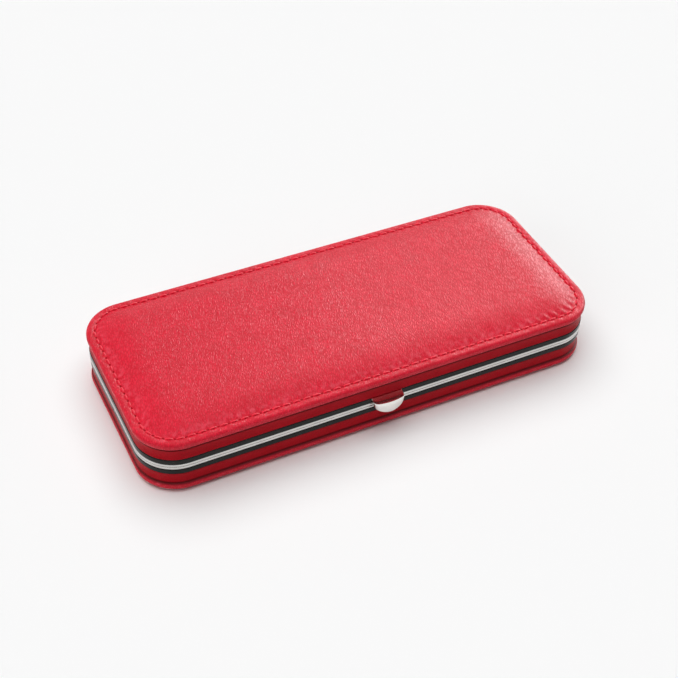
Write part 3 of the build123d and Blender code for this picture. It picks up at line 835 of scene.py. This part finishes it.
def surface_wear():
    """Hair scratches and faint smears, for plated metal and lacquer."""
    inputs = [("Place", VECTOR, (0, 0, 0)), ("Scratch Scale", NUMBER, 900.0)]
    group, given, out = new_group("Surface Wear", inputs, ["Scratches", "Smears"])
    thin = vector_maths(group, "MULTIPLY", given["Place"], (0.06, 1.0, 1.0))
    lines = clouds(group, thin, scale=given["Scratch Scale"], detail=3.0)["Fac"]
    smears = clouds(group, given["Place"], scale=210.0, detail=5.0, roughness=0.65)["Fac"]
    group.links.new(remap(group, lines, 0.55, 0.75), out.inputs["Scratches"])
    group.links.new(remap(group, smears, 0.3, 0.7), out.inputs["Smears"])
    return group


def soft_fibre():
    """Short fibres: nap of velour, lay of thread, cells of foam and card."""
    inputs = [
        ("Place", VECTOR, (0, 0, 0)), ("Fibres", NUMBER, 3000.0), ("Lay", VECTOR, (1, 1, 1)),
    ]
    group, given, out = new_group("Soft Fibre", inputs, ["Nap", "Shade"])
    laid = vector_maths(group, "MULTIPLY", given["Place"], given["Lay"])
    nap = clouds(group, laid, scale=given["Fibres"], detail=3.0, roughness=0.7)["Fac"]
    shade = clouds(group, given["Place"], scale=120.0, detail=3.0, distortion=0.6)["Fac"]
    group.links.new(nap, out.inputs["Nap"])
    group.links.new(shade, out.inputs["Shade"])
    return group


GRAIN = leather_grain()
WEAR = surface_wear()
FIBRE = soft_fibre()

# ------------------------ materials
PANEL_RED, PANEL_DEEP_RED = (0.86, 0.009, 0.043, 1), (0.55, 0.004, 0.018, 1)
# Side band reds: the panel's red made darker, as painted shade of the sides that face away from the
# high light.
BAND_SHADED_RED, BAND_SHADED_DEEP_RED = (0.55, 0.007, 0.018, 1), (0.36, 0.004, 0.010, 1)
# Pale red of the painted highlights on the wrinkles and on the crests inside the seam.
PAINTED_HIGHLIGHT_RED = (0.84, 0.085, 0.13, 1)
# Dark red of the painted shade in the crease under the lip.
PAINTED_CREASE_SHADE_RED = (0.09, 0.001, 0.002, 1)
GRAIN_STRETCH, GRAIN_TURN = (1.75, 0.52, 1.0), 0.35
PANEL_CELLS, BAND_CELLS, BAND_COARSE = 1200.0, 1300.0, 0.15
MOTTLE_SHADE, VALLEY_SHADE = 0.22, 0.84
# How strong the painted highlight on the wrinkles is, and how far the painted shade at the right
# end goes towards deep red.
WRINKLE_HIGHLIGHT, RIGHT_END_PAINTED_SHADE = 0.1925, 0.3
METAL_DULLING = 0.86

# Where the masks of the red leather start and end, in metres, and how strong they get.
# Crease: painted shade under the lip, on both the panel and the band.
CREASE_FULL, CREASE_END, CREASE_SHADE = 0.00010, 0.00080, 0.95
# Seam highlight: painted highlight on the crests inside the seam.
SEAM_HIGHLIGHT_START, SEAM_HIGHLIGHT_FULL, SEAM_HIGHLIGHT_FADE, SEAM_HIGHLIGHT_END, SEAM_HIGHLIGHT_PALE = 0.0026, 0.0034, 0.0036, 0.0066, 0.42
# Open: where the grain opens up towards the right end, where painted shade also darkens the panel.
OPEN_START, OPEN_FULL, OPEN_SLANT, OPEN_PATCHES = 0.022, 0.075, 0.3, 0.045


def painted_crease_shade(tree, where):
    """Mask of painted shade: the dark line where the lip of the panel meets the side band."""
    split = add_node(tree, "ShaderNodeSeparateXYZ", {0: where})
    height = maths(tree, "ABSOLUTE", maths(tree, "SUBTRACT", split.outputs["Z"], PARTING * MM))
    away = maths(tree, "ABSOLUTE", maths(tree, "SUBTRACT", height, LIP_LOW * MM))
    return remap(tree, away, CREASE_FULL, CREASE_END, CREASE_SHADE, 0.0)


def painted_seam_highlight(tree, where):
    """Mask of painted highlight: the pale crests just inside the seam, at the front and the two
    ends.
    """
    split = add_node(tree, "ShaderNodeSeparateXYZ", {0: where})
    from_middle = maths(tree, "ABSOLUTE", split.outputs["X"])
    from_end = maths(tree, "SUBTRACT", HALF_LENGTH * MM, from_middle)
    from_front = maths(tree, "ADD", split.outputs["Y"], HALF_DEPTH * MM)
    inset = maths(tree, "MINIMUM", from_end, from_front)
    near = remap(tree, inset, SEAM_HIGHLIGHT_FADE, SEAM_HIGHLIGHT_END, 1.0, 0.0)
    inside = remap(tree, inset, SEAM_HIGHLIGHT_START, SEAM_HIGHLIGHT_FULL)
    crests = clouds(tree, where, scale=700.0, detail=3.0)["Fac"]
    crest = remap(tree, crests, 0.44, 0.64, 0.0, SEAM_HIGHLIGHT_PALE)
    return maths(tree, "MULTIPLY", maths(tree, "MULTIPLY", near, inside), crest)


def opened_grain(tree, where):
    """Mask that lets the grain open up towards the case's right end; the panel leather also uses it
    for painted shade there.
    """
    split = add_node(tree, "ShaderNodeSeparateXYZ", {0: where})
    slanted = maths(tree, "MULTIPLY", split.outputs["Y"], OPEN_SLANT)
    reach = maths(tree, "ADD", split.outputs["X"], slanted)
    patches = clouds(tree, where, scale=45.0, detail=2.0)["Fac"]
    reach = maths(tree, "ADD", reach, maths(tree, "MULTIPLY", patches, OPEN_PATCHES))
    return remap(tree, reach, OPEN_START, OPEN_FULL)


def grained_red(tree, where, cells, coarse, colour, deep):
    """Grain of the red leather, and its colour, which is deeper in the valleys."""
    grain = use_group(tree, GRAIN, {
        "Place": where, "Stretch": GRAIN_STRETCH, "Turn": GRAIN_TURN,
        "Cells": cells, "Coarse": coarse,
    })
    mottle = remap(tree, grain["Mottle"], 0.3, 0.7, 1.0, 0.0)
    shade = maths(tree, "MULTIPLY", mottle, MOTTLE_SHADE)
    valleys = maths(tree, "MULTIPLY", grain["Valley"], VALLEY_SHADE)
    shade = maths(tree, "ADD", shade, valleys, clamp=True)
    return grain, mix_colour(tree, shade, colour, deep)


def panel_leather():
    """Red leather of the panels: painted highlight on its wrinkles, grain opened up at the right
    end, with painted shade there.
    """
    material, tree, skin, where = new_material("red panel leather")
    coarse = opened_grain(tree, where)
    grain, tone = grained_red(tree, where, PANEL_CELLS, coarse, PANEL_RED, PANEL_DEEP_RED)
    wrinkle_highlight = maths(tree, "MULTIPLY", grain["Wrinkles"], WRINKLE_HIGHLIGHT)
    # Painted highlight on the wrinkles.
    tone = mix_colour(tree, wrinkle_highlight, tone, PAINTED_HIGHLIGHT_RED)
    # Painted shade: darker towards the right end.
    tone = mix_colour(tree, maths(tree, "MULTIPLY", coarse, RIGHT_END_PAINTED_SHADE), tone, PANEL_DEEP_RED)
    # Painted highlight on the crests inside the seam.
    tone = mix_colour(tree, painted_seam_highlight(tree, where), tone, PAINTED_HIGHLIGHT_RED)
    # Painted shade in the crease under the lip.
    tone = mix_colour(tree, painted_crease_shade(tree, where), tone, PAINTED_CREASE_SHADE_RED)
    rough = remap(tree, grain["Valley"], 0.0, 1.0, 0.32, 0.50)
    rough = maths(tree, "ADD", rough, maths(tree, "MULTIPLY", coarse, 0.10))
    height = maths(tree, "MULTIPLY", grain["Height"], remap(tree, coarse, 0.0, 1.0, 1.0, 0.6))
    finish_surface(tree, skin, tone, rough, height, relief=0.00009)
    skin.inputs["Specular IOR Level"].default_value = 0.25
    return material


def band_leather():
    """Red leather of the side bands: the red made darker as painted shade of the sides, with a
    flat, even grain.
    """
    material, tree, skin, where = new_material("shaded red band leather")
    grain, tone = grained_red(tree, where, BAND_CELLS, BAND_COARSE, BAND_SHADED_RED, BAND_SHADED_DEEP_RED)
    # Painted shade in the crease under the lip.
    tone = mix_colour(tree, painted_crease_shade(tree, where), tone, PAINTED_CREASE_SHADE_RED)
    rough = remap(tree, grain["Valley"], 0.0, 1.0, 0.24, 0.42)
    finish_surface(tree, skin, tone, rough, grain["Height"], relief=0.00004)
    skin.inputs["Specular IOR Level"].default_value = 0.045
    return material


def strap_leather():
    """Dark leather of the strap with the tool loops."""
    material, tree, skin, where = new_material("dark strap leather")
    grain = use_group(tree, GRAIN, {"Place": where, "Cells": 1500.0, "Coarse": 0.2})
    dark, deep = (0.030, 0.028, 0.030, 1), (0.012, 0.011, 0.012, 1)
    tone = mix_colour(tree, grain["Valley"], dark, deep)
    rough = remap(tree, grain["Valley"], 0.0, 1.0, 0.42, 0.6)
    finish_surface(tree, skin, tone, rough, grain["Height"], relief=0.00004)
    return material


def seam_yarn():
    """Red sewing thread, brighter on its raised fibres."""
    material, tree, yarn, where = new_material("red sewing thread")
    fibre = use_group(tree, FIBRE, {"Place": where, "Fibres": 6500.0, "Lay": (1.0, 1.0, 0.5)})
    deep, bright = (0.70, 0.012, 0.030, 1), (0.95, 0.035, 0.075, 1)
    tone = mix_colour(tree, fibre["Nap"], deep, bright)
    rough = remap(tree, fibre["Nap"], 0.0, 1.0, 0.45, 0.7)
    finish_surface(tree, yarn, tone, rough, fibre["Nap"], relief=0.00006)
    return material


def hole_shadow():
    """Painted shade inside a needle hole, in deep red."""
    material, tree, hole, where = new_material("needle hole")
    fibre = use_group(tree, FIBRE, {"Place": where, "Fibres": 5000.0})
    deep, bright = (0.28, 0.005, 0.010, 1), (0.46, 0.008, 0.018, 1)
    tone = mix_colour(tree, fibre["Nap"], deep, bright)
    tree.links.new(tone, hole.inputs["Base Color"])
    hole.inputs["Roughness"].default_value = 0.9
    hole.inputs["Specular IOR Level"].default_value = 0.1
    return material


def black_lacquer():
    """Glossy black strip with a faint leathery unevenness."""
    material, tree, strip, where = new_material("black lacquered strip")
    wear = use_group(tree, WEAR, {"Place": where, "Scratch Scale": 700.0})
    black, worn = (0.004, 0.004, 0.0035, 1), (0.011, 0.011, 0.010, 1)
    tone = mix_colour(tree, wear["Smears"], black, worn)
    rough = maths(tree, "ADD", 0.17, maths(tree, "MULTIPLY", wear["Smears"], 0.10))
    grain = use_group(tree, GRAIN, {"Place": where, "Cells": 1100.0, "Coarse": 0.3})
    finish_surface(tree, strip, tone, rough, grain["Height"], relief=0.000006)
    strip.inputs["Specular IOR Level"].default_value = 0.18
    return material


def plated_metal(name, colour, roughness, scratches):
    """Nickel plate: bright, with smears and hair scratches of its own."""
    material, tree, metal, where = new_material(name)
    wear = use_group(tree, WEAR, {"Place": where, "Scratch Scale": scratches})
    dull = tuple(METAL_DULLING * channel for channel in colour[:3]) + (1,)
    tone = mix_colour(tree, maths(tree, "MULTIPLY", wear["Smears"], 0.5), colour, dull)
    rough = maths(tree, "ADD", roughness, maths(tree, "MULTIPLY", wear["Smears"], 0.07))
    rough = maths(tree, "ADD", rough, maths(tree, "MULTIPLY", wear["Scratches"], 0.05))
    finish_surface(tree, metal, tone, rough, wear["Scratches"], relief=0.000002)
    metal.inputs["Metallic"].default_value = 1.0
    return material


def fibrous(name, dark, light, fibres, relief, roughness, lay=(1.0, 1.0, 1.0), sheen=0.0):
    """Velour, foam, card or dark thread: matt, with its own size of fibre."""
    material, tree, cloth, where = new_material(name)
    fibre = use_group(tree, FIBRE, {"Place": where, "Fibres": fibres, "Lay": lay})
    share = mix_value(tree, 0.5, fibre["Nap"], fibre["Shade"])
    tone = mix_colour(tree, remap(tree, share, 0.35, 0.65), (*dark, 1), (*light, 1))
    rough = remap(tree, fibre["Nap"], 0.0, 1.0, roughness - 0.08, roughness)
    finish_surface(tree, cloth, tone, rough, fibre["Nap"], relief)
    cloth.inputs["Sheen Weight"].default_value = sheen
    return material


PANEL_LEATHER = panel_leather()
BAND_LEATHER = band_leather()
STRAP = strap_leather()
THREAD = seam_yarn()
NEEDLE_HOLE_SHADE = hole_shadow()
LACQUER = black_lacquer()
BEAD_NICKEL = plated_metal(
    "nickel of the frame", (0.60, 0.59, 0.575, 1), roughness=0.13, scratches=900.0,
)
TAB_NICKEL = plated_metal(
    "polished nickel of the catch", (0.86, 0.84, 0.81, 1), roughness=0.07, scratches=1300.0,
)
INNER_STEEL = plated_metal(
    "plated steel inside", (0.66, 0.65, 0.64, 1), roughness=0.24, scratches=1000.0,
)
SPRING_STEEL = plated_metal(
    "blued spring strip", (0.40, 0.41, 0.44, 1), roughness=0.28, scratches=1200.0,
)
VELOUR = fibrous(
    "black velour", (0.006, 0.006, 0.007), (0.022, 0.022, 0.025),
    fibres=2600.0, relief=0.00018, roughness=0.95, sheen=0.25,
)
FOAM = fibrous(
    "pad foam", (0.62, 0.58, 0.48), (0.80, 0.77, 0.68),
    fibres=1800.0, relief=0.0002, roughness=0.95,
)
CARD = fibrous(
    "grey card", (0.34, 0.29, 0.22), (0.48, 0.43, 0.34),
    fibres=900.0, relief=0.00003, roughness=0.9, lay=(1.0, 0.35, 1.0),
)
DARK_THREAD = fibrous(
    "black sewing thread", (0.020, 0.019, 0.020), (0.055, 0.052, 0.055),
    fibres=6500.0, relief=0.00005, roughness=0.7,
)


# ------------------------ putting it together
def dress(piece, material, body, slot, *nodes):
    """Give a piece its material and body, and let it stand for its CAD nodes. The slot is not used.
    """
    piece.data.materials.clear()
    piece.data.materials.append(material)
    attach(piece, body)
    if nodes:
        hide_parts(*nodes)
    return piece


for half, crown, seed in (("lid", LID_CROWN, 1.5), ("base", BASE_CROWN, 41.5)):
    panel = padded_panel(half, crown, seed)
    dress(panel, PANEL_LEATHER, half, "red_leather", f"{half}_cover")
    pad = dress(foam_pad(half, crown), FOAM, half, "foam", f"{half}_padding")
    dress(seam_thread(half, seed), THREAD, half, "red_thread", f"{half}_stitching")
    dress(needle_holes(half), NEEDLE_HOLE_SHADE, half, "red_leather")
    dress(side_band(half, seed), BAND_LEATHER, half, "red_leather", f"{half}_band")
    dress(lining_tray(half), VELOUR, half, "lining_velour", f"{half}_lining")
    dress(tool_loops(half), STRAP, half, "lining_strap", f"{half}_tool_loops")
    dress(loop_tacks(half), DARK_THREAD, half, "lining_strap")

dress(thumb_tab(), TAB_NICKEL, "catch", "nickel_bright", "thumb_catch")
for piece in catch_arm():
    dress(piece, TAB_NICKEL, "catch", "nickel_bright")

KEPT_NODES = {
    LACQUER: ["lid_trim", "base_trim"],
    BEAD_NICKEL: ["lid_frame", "base_frame"],
    SPRING_STEEL: ["catch_spring"],
    CARD: ["lid_board", "base_board", "lid_filler_card", "base_filler_card"],
    INNER_STEEL: [
        "catch_bracket", "catch_pin", "catch_strike", "hinge_pin_left", "hinge_pin_right",
        "lid_hinge_rivets", "base_hinge_rivets", "lid_hinge_leaf_left",
        "lid_hinge_leaf_right", "base_hinge_leaf_left", "base_hinge_leaf_right",
    ],
}
for material, names in KEPT_NODES.items():
    for name in names:
        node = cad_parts[name]
        node.data.materials.clear()
        node.data.materials.append(material)

# ------------------------ floor, light, camera
FLOOR_HALF = 3.0
FLOOR_WHITE = (0.945, 0.945, 0.945, 1)
WORLD_LIGHT = 0.08
WORLD_SHOWN = 0.95
WINDOW_PLACE = (1.70, 0.92, 0.80)
WINDOW_TARGET = (0.03, 0.0, 0.0)
WINDOW_WIDE, WINDOW_HIGH = 1.5, 1.0
WINDOW_POWER = 62.0
CAMERA_AZIMUTH = -27.34
CAMERA_HEIGHT_ANGLE = 42.93
CAMERA_ROLL = 2.315
CAMERA_DISTANCE = 393.05
CAMERA_TARGET = (2.87, 6.08, 1.45)
CAMERA_LENS = 69.26
CAMERA_SENSOR = 36.0


def pale_floor():
    half = FLOOR_HALF / MM
    corners = [(-half, -half, 0), (half, -half, 0), (half, half, 0), (-half, half, 0)]
    floor = smooth_object("floor", corners, [(0, 1, 2, 3)])
    material = bpy.data.materials.new("white floor")
    material.use_nodes = True
    paint = material.node_tree.nodes["Principled BSDF"]
    paint.inputs["Base Color"].default_value = FLOOR_WHITE
    paint.inputs["Roughness"].default_value = 0.9
    paint.inputs["Specular IOR Level"].default_value = 0.0
    floor.data.materials.append(material)


def soft_world():
    """Little light of its own, but pale where the camera or a shiny surface sees it."""
    world = bpy.data.worlds.new("studio")
    bpy.context.scene.world = world
    world.use_nodes = True
    tree = world.node_tree
    backdrop = tree.nodes["Background"]
    path = add_node(tree, "ShaderNodeLightPath").outputs
    backdrop.inputs["Color"].default_value = (1, 1, 1, 1)
    shown = maths(tree, "MAXIMUM", path["Is Camera Ray"], path["Is Glossy Ray"])
    level = mix_value(tree, shown, WORLD_LIGHT, WORLD_SHOWN)
    tree.links.new(level, backdrop.inputs["Strength"])


def far_window():
    """A window off the right end, which shows only as sheen on leather and metal."""
    lamp = bpy.data.lights.new("far window", "AREA")
    lamp.shape = "RECTANGLE"
    lamp.size = WINDOW_WIDE
    lamp.size_y = WINDOW_HIGH
    lamp.energy = WINDOW_POWER
    made = linked_object("far window", lamp)
    made.location = WINDOW_PLACE
    facing = Vector(WINDOW_TARGET) - Vector(WINDOW_PLACE)
    made.rotation_euler = facing.to_track_quat("-Z", "Y").to_euler()
    made.visible_diffuse = False


def sun_light(name, direction, strength, angle):
    """A broad soft light from far away, left out of reflections; the angle is in degrees."""
    lamp = bpy.data.lights.new(name, "SUN")
    lamp.energy = strength
    lamp.angle = math.radians(angle)
    made = linked_object(name, lamp)
    made.rotation_euler = Vector(direction).to_track_quat("-Z", "Y").to_euler()
    made.visible_glossy = False


def photo_camera():
    """The camera where the photograph was taken from, as fitted to the case's outline."""
    turn, lift = math.radians(CAMERA_AZIMUTH), math.radians(CAMERA_HEIGHT_ANGLE)
    roll = math.radians(CAMERA_ROLL)
    level = math.cos(lift)
    back = Vector((math.sin(turn) * level, -math.cos(turn) * level, math.sin(lift)))
    right = (-back).cross(Vector((0, 0, 1))).normalized()
    up = right.cross(-back)
    tilted_right = right * math.cos(roll) + up * math.sin(roll)
    tilted_up = up * math.cos(roll) - right * math.sin(roll)
    spot = (Vector(CAMERA_TARGET) + back * CAMERA_DISTANCE) * MM
    camera = bpy.data.cameras.new("photo camera")
    camera.lens = CAMERA_LENS
    camera.sensor_width = CAMERA_SENSOR
    camera.clip_start = 0.01
    made = linked_object("photo camera", camera)
    columns = (tilted_right, tilted_up, back, spot)
    rows = [[column[i] for column in columns] for i in range(3)]
    made.matrix_world = Matrix(rows + [[0, 0, 0, 1]])
    bpy.context.scene.camera = made


pale_floor()
soft_world()
sun_light("high soft light", direction=(0.02, -0.22, -1.0), strength=2.76, angle=76)
sun_light("low light from the left", direction=(1.0, 0.40, -0.45), strength=0.55, angle=50)
far_window()
photo_camera()

bpy.context.scene.view_settings.view_transform = "Standard"
